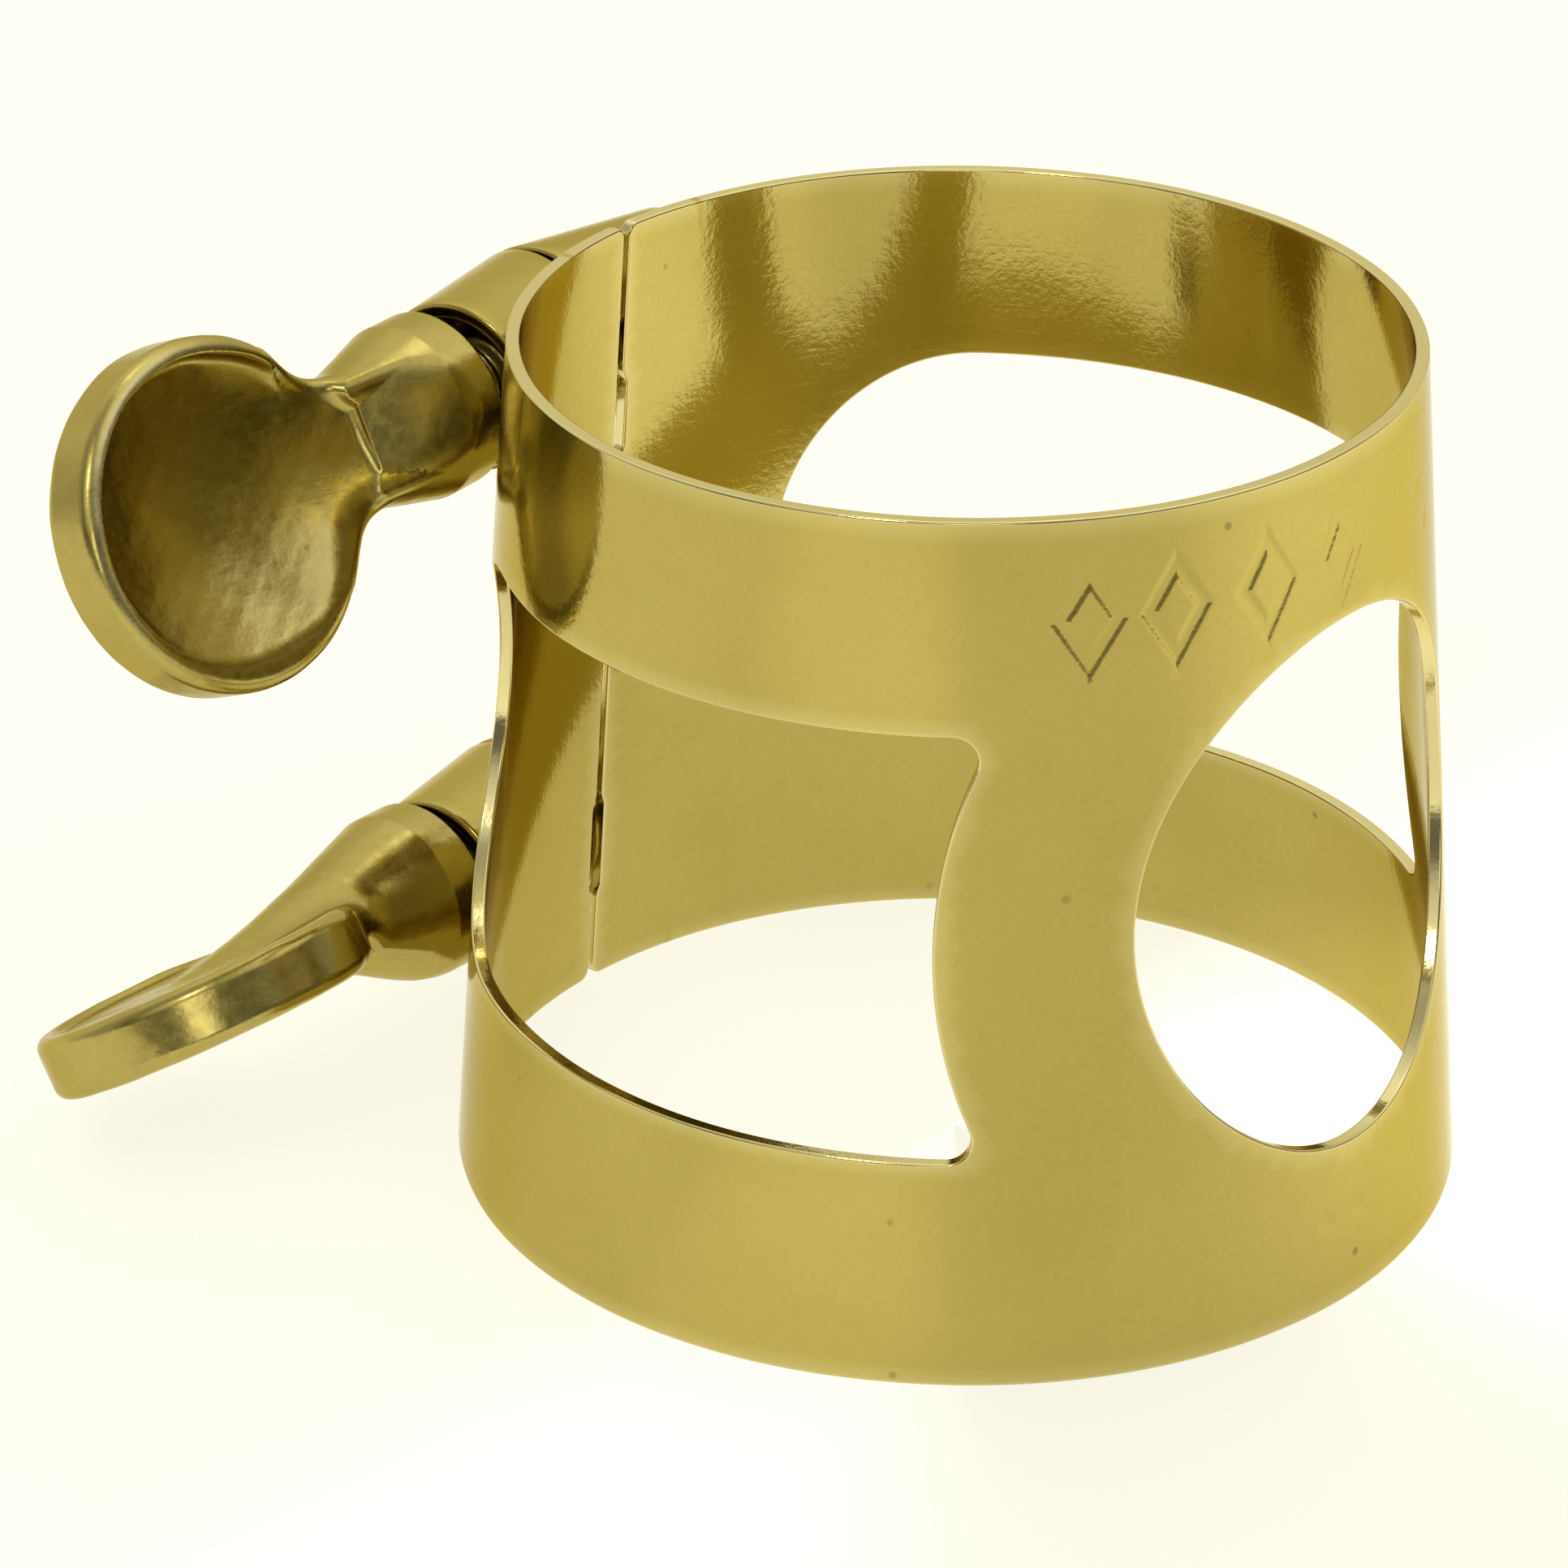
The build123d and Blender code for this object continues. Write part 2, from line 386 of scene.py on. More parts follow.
def crossings(points, loops):
    """True where points lie inside an odd number of closed loops."""
    inside = np.zeros(len(points), bool)
    px, py = points[:, 0:1], points[:, 1:2]
    for loop in loops:
        ax, ay = loop[:, 0], loop[:, 1]
        bx, by = np.roll(ax, -1), np.roll(ay, -1)
        with np.errstate(divide="ignore", invalid="ignore"):
            x = ax + (py - ay) * (bx - ax) / (by - ay)
        hit = ((ay > py) != (by > py)) & (px < x)
        inside ^= (hit.sum(axis=1) % 2).astype(bool)
    return inside


def nearest(points, others):
    """Distance from each point to the nearest of the others."""
    gap = np.empty(len(points))
    for start in range(0, len(points), BLOCK):
        block = points[start : start + BLOCK]
        gap[start : start + BLOCK] = np.hypot(
            block[:, 0:1] - others[None, :, 0], block[:, 1:2] - others[None, :, 1]
        ).min(axis=1)
    return gap


def lattice(low, high, step):
    """Triangular lattice of points in a rectangle."""
    rows = np.arange(low[1], high[1], step * 0.866)
    made = []
    for i, z in enumerate(rows):
        s = np.arange(low[0] + (i % 2) * step / 2, high[0], step)
        made.append(np.stack([s, np.full_like(s, z)], axis=-1))
    return np.vstack(made)


def mark_boxes():
    """Rectangles round the stamped marks, where the sheet is meshed finely."""
    boxes = []
    for angle, height, half_wide, half_high in LOZENGES:
        s = MID_RADIUS * math.radians(angle)
        wide, high = half_wide + 0.35, half_high + 0.35
        boxes.append(((s - wide, height - high), (s + wide, height + high)))
    for angle, height, radius in DOTS:
        s, reach = MID_RADIUS * math.radians(angle), 1.8 * radius
        boxes.append(((s - reach, height - reach), (s + reach, height + reach)))
    return boxes


def inner_points(loops):
    """Points that fill the sheet between its loops, finer at the marks."""
    every = np.vstack(loops)
    points = lattice(every.min(axis=0), every.max(axis=0), SHEET_STEP)
    fine = []
    for low, high in mark_boxes():
        clear = 0.3 * SHEET_STEP
        near = np.all(points > np.array(low) - clear, axis=1)
        near &= np.all(points < np.array(high) + clear, axis=1)
        points = points[~near]
        fine.append(lattice(low, high, MARK_STEP))
    points = points[crossings(points, loops)]
    points = points[nearest(points, every) > 0.6 * SHEET_STEP]
    fine = np.vstack(fine)
    fine = fine[crossings(fine, loops)]
    fine = fine[nearest(fine, every) > MARK_STEP]
    return np.vstack([points, fine])


def weld(points, faces, *extras):
    """Merges points that coincide and drops the faces that this closes up."""
    keys = np.round(points, 5)
    _, first, which = np.unique(keys, axis=0, return_index=True, return_inverse=True)
    which = which.ravel()
    kept = []
    for face in faces:
        ring = []
        for i in face:
            j = int(which[i])
            if j not in ring:
                ring.append(j)
        if len(ring) > 2:
            kept.append(tuple(ring))
    return (points[first], kept, *[e[first] for e in extras])


def sheet_piece(name, loops):
    """Sheet with rounded edges between an outer loop and any holes, wrapped on the cone."""
    inset, depth, turn = (np.array(c, float) for c in zip(*SHEET_RINGS))
    face_loops = [points + inset[0] * normals for points, normals in loops]
    filling = inner_points(face_loops)
    flat, edges, count = [], [], 0
    for loop in face_loops:
        n = len(loop)
        edges += [(count + i, count + (i + 1) % n) for i in range(n)]
        flat.append(loop)
        count += n
    flat = np.vstack(flat + [filling])
    result = delaunay_2d_cdt([Vector(p) for p in flat], edges, [], 0, 1e-7)
    origin = np.array([ids[0] for ids in result[3]])
    triangles = origin[np.array(result[2])]
    triangles = triangles[crossings(flat[triangles].mean(axis=1), face_loops)]

    s, z, d, tilt, lean = [], [], [], [], []
    faces, outer_id, inner_id = [], [], []
    first = 0
    rings = len(SHEET_RINGS)
    for points, normals in loops:
        n = len(points)
        for k in range(rings):
            moved = points + inset[k] * normals
            s.append(moved[:, 0])
            z.append(moved[:, 1])
            d.append(np.full(n, depth[k]))
            tilt.append(np.full(n, math.radians(turn[k])))
            lean.append(normals)
        faces += [f[::-1] for f in grid_faces(rings, n, first)][::-1]
        outer_id += range(first, first + n)
        inner_id += range(first + (rings - 1) * n, first + rings * n)
        first += rings * n
    for depth_here, turned, ids in ((0.0, 0.0, outer_id), (SHEET, math.pi, inner_id)):
        n = len(filling)
        s.append(filling[:, 0])
        z.append(filling[:, 1])
        d.append(np.full(n, depth_here))
        tilt.append(np.full(n, turned))
        lean.append(np.zeros((n, 2)))
        ids += range(first, first + n)
        first += n
    for a, b, c in triangles.tolist():
        faces.append((outer_id[a], outer_id[b], outer_id[c]))
        faces.append((inner_id[c], inner_id[b], inner_id[a]))

    s, z, d, tilt = (np.concatenate(v) for v in (s, z, d, tilt))
    lean = np.vstack(lean)
    points = sheet_point(s, z, d)
    out, along, up = sheet_frame(s, z, d)
    edge = -(lean[:, 0:1] * along + lean[:, 1:2] * up)
    normals = np.cos(tilt)[:, None] * out + np.sin(tilt)[:, None] * edge
    weak = np.linalg.norm(normals, axis=1) < 0.5
    normals[weak] = out[weak]
    rim = np.concatenate([p for p, _ in loops])
    for seam in (SEAM_S, FULL_S - SEAM_S, -SEAM_S):
        rim = rim[np.abs(rim[:, 0] - seam) > SEAM_CLEAR]
    edge_gap = nearest(np.stack([s, z], axis=-1), rim)
    points, faces, normals, edge_gap = weld(points, faces, normals, edge_gap)
    return make_object(name, points, faces, normals, wear=np.exp(-edge_gap / WEAR_WIDTH))


def build_band():
    """The strip that springs open, and the two lips that stay straight under the barrels."""
    near = near_window()
    mirrored = np.array([FULL_S, 0.0]) + near[::-1] * (-1, 1)
    holes = [with_normals(h, clockwise=True) for h in (near, mirrored, round_window())]
    strip = sheet_piece("band_strip", [strip_loop()] + holes)
    near_lip = sheet_piece("band_near_lip", [lip_loop(False)])
    far_lip = sheet_piece("band_far_lip", [lip_loop(True)])
    return strip, near_lip, far_lip


# ---- Places of the barrels and screws
def meeting_y(level):
    """Where the axes of a level's two barrels would meet in the plane of the gap."""
    touching = outer_radius(level["barrel_z"]) + BARREL_RADIUS - BARREL_SEAT
    return touching / math.cos(math.radians(BARREL_TURN))


def screw_frame(level):
    """Origin and axes of a screw; its x axis points to the tip."""
    origin = np.array([0.0, meeting_y(level) - SCREW_INSET, level["screw_z"]])
    return origin, rotation("Y", -level["droop"])


def barrel_frame(level, side):
    """Origin and axes of a barrel; its x axis points away from the gap."""
    turn = 180 + BARREL_TURN if side < 0 else -BARREL_TURN
    return np.array([0.0, meeting_y(level), level["barrel_z"]]), rotation("Z", turn)


def end_plane(level, side):
    """A point and the outward normal of a barrel's outer end face."""
    if side > 0:
        origin, axes = barrel_frame(level, side)
        return origin + axes @ (FAR_BARREL_LENGTH, 0, 0), axes @ (1.0, 0, 0)
    origin, axes = screw_frame(level)
    normal = axes @ rotation("Z", level["end_lean"]) @ (-1.0, 0, 0)
    return origin + axes @ (-level["barrel_end"], 0, 0), normal


def gap_plane(side):
    """A point and the outward normal of a barrel's face at the gap."""
    return np.array([side * GAP / 2, 0.0, 0.0]), np.array([-float(side), 0, 0])


# ---- Barrels
TUBE_STEPS = 96
TUBE_ROUNDING = 0.12
BORE_CHAMFER = 0.16
BORE_THREAD_DEPTH = 0.14
BORE_ROWS = (6, 160)  # plain and threaded


def to_plane(start, direction, plane):
    """Distances along a direction from start points to a plane."""
    point, normal = plane
    return ((point - start) @ normal) / (direction @ normal)


def thread_radius(x, theta, crest, depth):
    """Radius of a rounded V thread at a place along and round its axis."""
    phase = (x / THREAD_PITCH - theta / (2 * math.pi)) % 1.0
    slope = np.abs(2 * phase - 1.0)
    return crest - depth * smooth_step(np.clip(1.35 * slope - 0.2, 0, 1))


def barrel(level, side):
    """Tube cut square to the gap at one end and to the bell at the other."""
    origin, axes = barrel_frame(level, side)
    axis = axes @ (1.0, 0, 0)
    if side > 0:
        bore_origin, bore_axes = screw_frame(level)
        bore_origin = bore_origin + bore_axes @ (0, FAR_BORE_OFFSET, 0)
        bore_axis = bore_axes @ (1.0, 0, 0)
        bore, threaded = FAR_BARREL_BORE, True
    else:
        bore_origin, bore_axis = origin, axis
        bore, threaded = HEAD_BARREL_BORE, False
    theta = np.arange(TUBE_STEPS) * (2 * math.pi / TUBE_STEPS)
    up = np.array([0.0, 0, 1.0])
    planes = gap_plane(side), end_plane(level, side)

    def spokes(direction):
        aside = unit(np.cross(up, direction))
        rise = np.cross(direction, aside)
        return np.cos(theta)[:, None] * aside + np.sin(theta)[:, None] * rise

    out = spokes(axis)
    inner = spokes(bore_axis)
    rows = []

    def outer_row(where, inset, radius):
        """Row on the outside, inset from an end plane."""
        base = origin + radius * out
        reach = to_plane(base, axis, planes[where])
        sign = -1.0 if where == 0 else 1.0
        rows.append(base + (reach - sign * inset)[:, None] * axis)

    def bore_mouth(where):
        """Row where the bore's chamfer meets an end face."""
        base = bore_origin + (bore + BORE_CHAMFER) * inner
        rows.append(base + to_plane(base, bore_axis, planes[where])[:, None] * bore_axis)

    r = TUBE_ROUNDING
    quarter = [0.0, 22.5, 45.0, 67.5, 90.0]
    for degrees in reversed(quarter):
        a = math.radians(degrees)
        outer_row(0, r - r * math.sin(a), BARREL_RADIUS - r + r * math.cos(a))
    for share in np.linspace(0.1, 0.9, 7):
        base = origin + BARREL_RADIUS * out
        low = to_plane(base, axis, planes[0])
        high = to_plane(base, axis, planes[1])
        rows.append(base + (low + share * (high - low))[:, None] * axis)
    for degrees in quarter:
        a = math.radians(degrees)
        outer_row(1, r - r * math.sin(a), BARREL_RADIUS - r + r * math.cos(a))
    bore_mouth(1)
    base = bore_origin + bore * inner
    low = to_plane(base, bore_axis, planes[0]) + BORE_CHAMFER
    high = to_plane(base, bore_axis, planes[1]) - BORE_CHAMFER
    for share in np.linspace(1.0, 0.0, BORE_ROWS[threaded]):
        along = low + share * (high - low)
        radius = np.full(TUBE_STEPS, bore)
        if threaded:
            radius = thread_radius(along, theta, bore, BORE_THREAD_DEPTH)
        rows.append(bore_origin + radius[:, None] * inner + along[:, None] * bore_axis)
    bore_mouth(0)
    points = np.vstack(rows)
    # the last row joins the first
    faces = [tuple(i % len(points) for i in f) for f in grid_faces(len(rows) + 1, TUBE_STEPS)]
    name = f"{level['name']}_{'head' if side < 0 else 'threaded'}_tube"
    return make_object(name, points, orient(points, faces))


def orient(points, faces):
    """Faces turned so that the closed mesh's volume is positive."""
    p = np.asarray(points)
    volume = 0.0
    for size in (3, 4):
        group = np.array([f for f in faces if len(f) == size])
        for k in range(1, size - 1 if len(group) else 1):
            turned = np.cross(p[group[:, k]], p[group[:, k + 1]])
            volume += (p[group[:, 0]] * turned).sum()
    return faces if volume > 0 else [tuple(reversed(f)) for f in faces]


# ---- Screw shanks
SHANK_PLAIN = 0.5  # unthreaded length past the bell's mouth
TIP_BEVEL = 0.45
TIP_RINGS = (0.78, 0.7, 0.35)
TIP_HOLLOW = 0.04


def shank(level):
    """Rod with a right-hand thread, bevelled at its tip."""
    origin, axes = screw_frame(level)
    start = -level["mouth"] - SHANK_SOCKET
    end = -SHANK_TIP
    theta = np.arange(TUBE_STEPS) * (2 * math.pi / TUBE_STEPS)
    rows = []

    def add_row(x, radius):
        around = radius * np.cos(theta), radius * np.sin(theta)
        rows.append(np.stack([np.full(TUBE_STEPS, x), *around], -1))

    for x in np.arange(start, end, THREAD_PITCH / 12):
        radius = thread_radius(x, theta, SHANK_RADIUS, THREAD_DEPTH)
        if x < SHANK_PLAIN - level["mouth"]:
            radius = np.full(TUBE_STEPS, SHANK_RADIUS)
        add_row(x, np.minimum(radius, SHANK_RADIUS - np.clip(x - (end - TIP_BEVEL), 0, None)))
    for radius in TIP_RINGS:
        add_row(end, radius)
    points = np.vstack(rows)
    faces = grid_faces(len(rows), TUBE_STEPS)
    tail, nose = len(points), len(points) + 1
    points = np.vstack([points, [[start, 0, 0]], [[end - TIP_HOLLOW, 0, 0]]])
    last = (len(rows) - 1) * TUBE_STEPS
    for j in range(TUBE_STEPS):
        k = (j + 1) % TUBE_STEPS
        faces.append((tail, k, j))
        faces.append((nose, last + j, last + k))
    points = points @ axes.T + origin
    return make_object(f"{level['name']}_screw_rod", points, orient(points, faces))


# ---- Shapes given by distance functions: thumb heads and solder
def soft_min(a, b, k):
    """Smaller of two distances, blended over k."""
    h = np.maximum(k - np.abs(a - b), 0.0) / k
    return np.minimum(a, b) - h * h * k / 4


def soft_max(a, b, k):
    """Larger of two distances, blended over k."""
    return -soft_min(-a, -b, k)


def gradient(f, p, step=0.004):
    """Central differences of a distance function."""
    made = np.empty_like(p)
    for axis in range(3):
        d = np.zeros(3)
        d[axis] = step
        made[:, axis] = (f(p + d) - f(p - d)) / (2 * step)
    return made


def surface_net(f, low, high, step):
    """Quads on the zero surface of f, its points drawn onto the surface, and their normals."""
    axes = [np.arange(low[i], high[i] + step, step) for i in range(3)]
    grid = np.stack(np.meshgrid(*axes, indexing="ij"), axis=-1)
    shape = grid.shape[:3]
    values = f(grid.reshape(-1, 3)).reshape(shape)
    cells = tuple(n - 1 for n in shape)
    total = np.zeros(cells + (3,))
    hits = np.zeros(cells)

    def corner(offset):
        return tuple(slice(o, o + c) for o, c in zip(offset, cells))

    for axis in range(3):
        others = [i for i in range(3) if i != axis]
        for a in (0, 1):
            for b in (0, 1):
                start = [0, 0, 0]
                start[others[0]], start[others[1]] = a, b
                stop = list(start)
                stop[axis] = 1
                va, vb = values[corner(start)], values[corner(stop)]
                cut = (va < 0) != (vb < 0)
                with np.errstate(divide="ignore", invalid="ignore"):
                    t = np.where(cut, va / (va - vb), 0.0)
                place = np.zeros(cells + (3,))
                place[..., axis] = t
                place[..., others[0]] = a
                place[..., others[1]] = b
                total += np.where(cut[..., None], place, 0.0)
                hits += cut
    used = hits > 0
    index = np.full(cells, -1)
    index[used] = np.arange(used.sum())
    base = np.stack(np.nonzero(used), axis=-1)
    points = np.array(low) + step * (base + total[used] / hits[used][:, None])
    faces = []
    for axis in range(3):
        others = [i for i in range(3) if i != axis]
        here = [slice(1, c) for c in cells]
        here[axis] = slice(0, cells[axis])
        ahead = list(here)
        ahead[axis] = slice(1, cells[axis] + 1)
        va, vb = values[tuple(here)], values[tuple(ahead)]
        cut = (va < 0) != (vb < 0)
        where = np.stack(np.nonzero(cut), axis=-1)
        for i in others:
            where[:, i] += 1
        flip = (va[cut] < 0) != (axis == 1)
        corners = []
        for a, b in ((0, 0), (-1, 0), (-1, -1), (0, -1)):
            at = where.copy()
            at[:, others[0]] += a
            at[:, others[1]] += b
            corners.append(index[at[:, 0], at[:, 1], at[:, 2]])
        quads = np.stack(corners, axis=-1)
        quads = np.where(flip[:, None], quads, quads[:, ::-1])
        faces += [tuple(q) for q in quads.tolist() if min(q) >= 0]
    for _ in range(4):
        slope = gradient(f, points)
        size = np.maximum((slope**2).sum(axis=1), 0.05)
        move = (f(points) / size)[:, None] * slope
        reach = np.linalg.norm(move, axis=1, keepdims=True)
        points = points - move * np.minimum(1.0, 0.5 * step / np.maximum(reach, 1e-9))
    return points, faces, unit(gradient(f, points))


# Thumb head, in its own frame: a from the bell's mouth out to the paddle, c square to the paddle
MOUTH_RADIUS = 2.65
MOUTH_LENGTH = 1.3
NECK_RADIUS = 1.85
BELL_LENGTH = 4.4
RIB_RADIUS = 1.42
RIB_LENGTH = 6.4
NOSE_RADIUS = 0.75
NOSE_LENGTH = 9.6
PADDLE_CENTRE = 9.4
PADDLE_RADIUS = 5.0
PADDLE_THICKNESS = 1.94
PADDLE_ROUNDING = 0.42
WEB_ANGLE = 45.9  # of the straight sides by which the paddle narrows to the bell
WEB_START = 3.4
WEB_LENGTH = 6.0
WEB_TAPER = 0.4  # share of the paddle's thickness lost by the web's end
LIP_WIDTH = 0.55
LIP_DEPTH = 0.28
LIP_TILT = 0.11  # by which the floor of the dish leans, so that it is deeper on its upper side
DISH_DEPTH = 1.46
BACK_LIP_DEPTH = 0.18
BACK_DISH_DEPTH = 0.24
DISH_STRETCH = 0.72  # towards the bell
DISH_SLOPE = 1.4  # by which the dish opens up where it runs into the bell
HEAD_STEP = 0.1
# strength of the painted highlight on the thumb heads' lip and lower dish
HEAD_HIGHLIGHT = 1.5


def turned_profile(p, profile, rounding):
    """Distance to a solid turned about the a axis from an (a, radius) profile, edges rounded."""
    a, r = p[:, 0], np.hypot(p[:, 1], p[:, 2])
    q = np.stack([a, r], axis=-1)
    best = np.full(len(p), 1e9)
    inside = np.zeros(len(p), bool)
    loop = np.array(profile)
    for i in range(len(loop)):
        start, end = loop[i], loop[(i + 1) % len(loop)]
        if not (start[1] <= 0 and end[1] <= 0):
            edge = end - start
            t = np.clip(((q - start) @ edge) / (edge @ edge), 0, 1)
            best = np.minimum(best, np.linalg.norm(q - start - t[:, None] * edge, axis=1))
        with np.errstate(divide="ignore", invalid="ignore"):
            x = start[0] + (q[:, 1] - start[1]) * (end[0] - start[0]) / (end[1] - start[1])
        inside ^= ((start[1] > q[:, 1]) != (end[1] > q[:, 1])) & (q[:, 0] < x)
    return np.where(inside, -best, best) - rounding


BELL_ROUNDING = 0.14
BELL_PROFILE = [
    (BELL_ROUNDING, -1.0),
    (BELL_ROUNDING, MOUTH_RADIUS - BELL_ROUNDING),
    (MOUTH_LENGTH, MOUTH_RADIUS - BELL_ROUNDING),
    (BELL_LENGTH, NECK_RADIUS - BELL_ROUNDING),
    (RIB_LENGTH, RIB_RADIUS - BELL_ROUNDING),
    (NOSE_LENGTH, NOSE_RADIUS - BELL_ROUNDING),
    (NOSE_LENGTH, -1.0),
]


def lumps(p):
    """Unevenness of a hand-polished casting."""
    x, y, z = p[:, 0], p[:, 1], p[:, 2]
    made = np.sin(1.9 * x + 0.7 * y + 1.1) * np.sin(1.3 * y - 0.8 * z + 0.5)
    made += 0.5 * np.sin(3.1 * y + 2.2 * z - 0.6) * np.sin(2.7 * x + 1.9)
    made += 0.3 * np.sin(5.3 * x - 3.7 * y + 0.4) * np.sin(4.9 * z + 3.3 * y)
    return made


def paddle_outline(a, b):
    """Distance to the paddle's outline: a disc that narrows to the bell by straight sides."""
    x, y = PADDLE_CENTRE - a, np.abs(b)
    reach = np.hypot(x, y)
    turn = math.radians(WEB_ANGLE)
    side = math.cos(turn) * x + math.sin(turn) * y - PADDLE_RADIUS
    web = np.maximum(side, np.maximum(x - WEB_LENGTH, WEB_START - x))
    return soft_min(reach - PADDLE_RADIUS, web, 0.15)


def dish(outline, a, b, height, edge, depth, tilt=0.0):
    """Hollow in one face of the paddle, with a lip round it that fades out towards the bell."""
    half = PADDLE_THICKNESS / 2
    x = PADDLE_CENTRE - a
    lip = 1 - smooth_step((x - 1.5) / 3.0)
    wall = outline + LIP_WIDTH * (0.55 + 0.45 * lip) - DISH_SLOPE * np.maximum(height - half, 0)
    across = np.hypot(np.where(x > 0, DISH_STRETCH * x, x), b)
    share = np.minimum(across / (PADDLE_RADIUS - LIP_WIDTH), 1.0)
    edge = edge * lip
    bowl = half - edge - (depth - edge) * (1 - share**2) + tilt * b - height
    return soft_max(wall, bowl, 0.3)


def head_distance(p):
    """Distance function of a thumb head."""
    a, b, c = p[:, 0], p[:, 1], p[:, 2]
    bell = turned_profile(p, BELL_PROFILE, BELL_ROUNDING)
    outline = paddle_outline(a, b)
    out = outline + PADDLE_ROUNDING
    # the web thins out towards the bell
    thinner = smooth_step((PADDLE_CENTRE - a - 2.0) / (WEB_LENGTH - 2.0))
    up = np.abs(c) - (PADDLE_THICKNESS / 2 * (1 - WEB_TAPER * thinner) - PADDLE_ROUNDING)
    paddle = np.hypot(np.maximum(out, 0), np.maximum(up, 0))
    paddle = paddle + np.minimum(np.maximum(out, up), 0) - PADDLE_ROUNDING
    # a shallow dish behind, which the bell runs into as a rib, and a deep one in front
    back = dish(outline, a, b, -c, BACK_LIP_DEPTH, BACK_DISH_DEPTH)
    paddle = soft_max(paddle, -back, 0.1)
    head = soft_min(bell, paddle, 0.8)
    near_bell = smooth_step((PADDLE_CENTRE - a - 1.8) / 3.0)
    front = dish(outline, a, b, c, LIP_DEPTH, DISH_DEPTH, LIP_TILT)
    head = soft_max(head, -front, 0.12 + 0.6 * near_bell)
    return head + 0.008 * lumps(p)


def painted_lip_and_dish_highlight(p):
    """Painted highlight on a head: a bright band along the lip's inner edge at its outer end, and
    the lower part of the dish painted lighter.
    """
    a, b, c = p.T
    from_lip = paddle_outline(a, b) + LIP_WIDTH
    lip = np.exp(-(((from_lip - 0.08) / 0.2) ** 2)) * smooth_step((a - 7.0) / 4.0)
    lip = lip * smooth_step((c - 0.5) / 0.3) * smooth_step((3.0 - b) / 3.0)
    hollow = smooth_step(-from_lip / 0.4) * smooth_step((c + 0.7) / 0.2)
    return np.maximum(lip, 0.22 * hollow * smooth_step((b - 0.6) / 1.4))


def build_heads():
    """One casting, placed at both levels."""
    low = (-0.3, -5.5, -3.1)
    high = (14.9, 5.5, 3.1)
    points, faces, normals = surface_net(head_distance, low, high, HEAD_STEP)
    # painted highlight on the lip, and the lower dish painted lighter, kept in a vertex attribute
    wear = HEAD_HIGHLIGHT * painted_lip_and_dish_highlight(points)
    made = []
    for level in LEVELS:
        origin, axes = screw_frame(level)
        # local a runs away from the tip, and the paddle is turned about it
        place = axes @ rotation("X", level["paddle_turn"]) @ np.diag([-1.0, -1.0, 1.0])
        start = origin + axes @ (-level["mouth"], 0, 0)
        moved = points @ place.T + start
        name = f"{level['name']}_thumb"
        made.append(make_object(name, moved, faces, normals @ place.T, wear=wear))
    return made


SOLDER_SPREAD = 0.8
SOLDER_LAP = 0.12
SOLDER_STEP = 0.08
SOLDER_OUTER_GAP = 0.35  # short of the barrel's outer end
SOLDER_INNER_GAP = 0.3  # short of the plane of the gap
BAND_LEAN_COSINE = 0.9974


def solder(level, side):
    """Meniscus of solder along both sides of the line where a barrel meets the band."""
    origin, axes = barrel_frame(level, side)
    axis = axes @ (1.0, 0, 0)
    end = end_plane(level, side)

    def distance(p):
        q = p - origin
        along = q @ axis
        tube = np.linalg.norm(q - along[:, None] * axis, axis=1) - BARREL_RADIUS
        band = (np.hypot(p[:, 0], p[:, 1]) - outer_radius(p[:, 2])) * BAND_LEAN_COSINE
        # the amount of solder varies along the seam
        spread = SOLDER_SPREAD * (1 + 0.12 * np.sin(2.1 * along + p[:, 2]))
        fill = soft_min(tube, band, spread)
        fill = np.maximum(fill, np.abs(tube - band) - 0.93 * spread)
        fill = np.maximum(fill, -(tube + SOLDER_LAP))
        fill = np.maximum(fill, -(band + SOLDER_LAP))
        outer_end = (p - end[0]) @ end[1] + SOLDER_OUTER_GAP
        inner_end = SOLDER_INNER_GAP - side * p[:, 0]
        fill = soft_max(fill, outer_end, 0.15)
        return soft_max(fill, inner_end, 0.1)

    centre = origin + axis * 2.4
    centre[1] -= BARREL_RADIUS
    reach = np.array([3.2, 2.4, 2.4])
    points, faces, _ = surface_net(distance, centre - reach, centre + reach, SOLDER_STEP)
    name = f"{level['name']}_{'head' if side < 0 else 'threaded'}_seam"
    return make_object(name, points, faces)


# ---- Materials
def srgb(r, g, b):
    """Linear colour of an 8-bit one."""
    made = []
    for c in (r, g, b):
        c = c / 255
        made.append(c / 12.92 if c <= 0.04045 else ((c + 0.055) / 1.055) ** 2.4)
    return (*made, 1.0)


def fill(node, **inputs):
    """Set the inputs of a node; an underscore in a name stands for a blank."""
    for key, value in inputs.items():
        node.inputs[key.replace("_", " ")].default_value = value


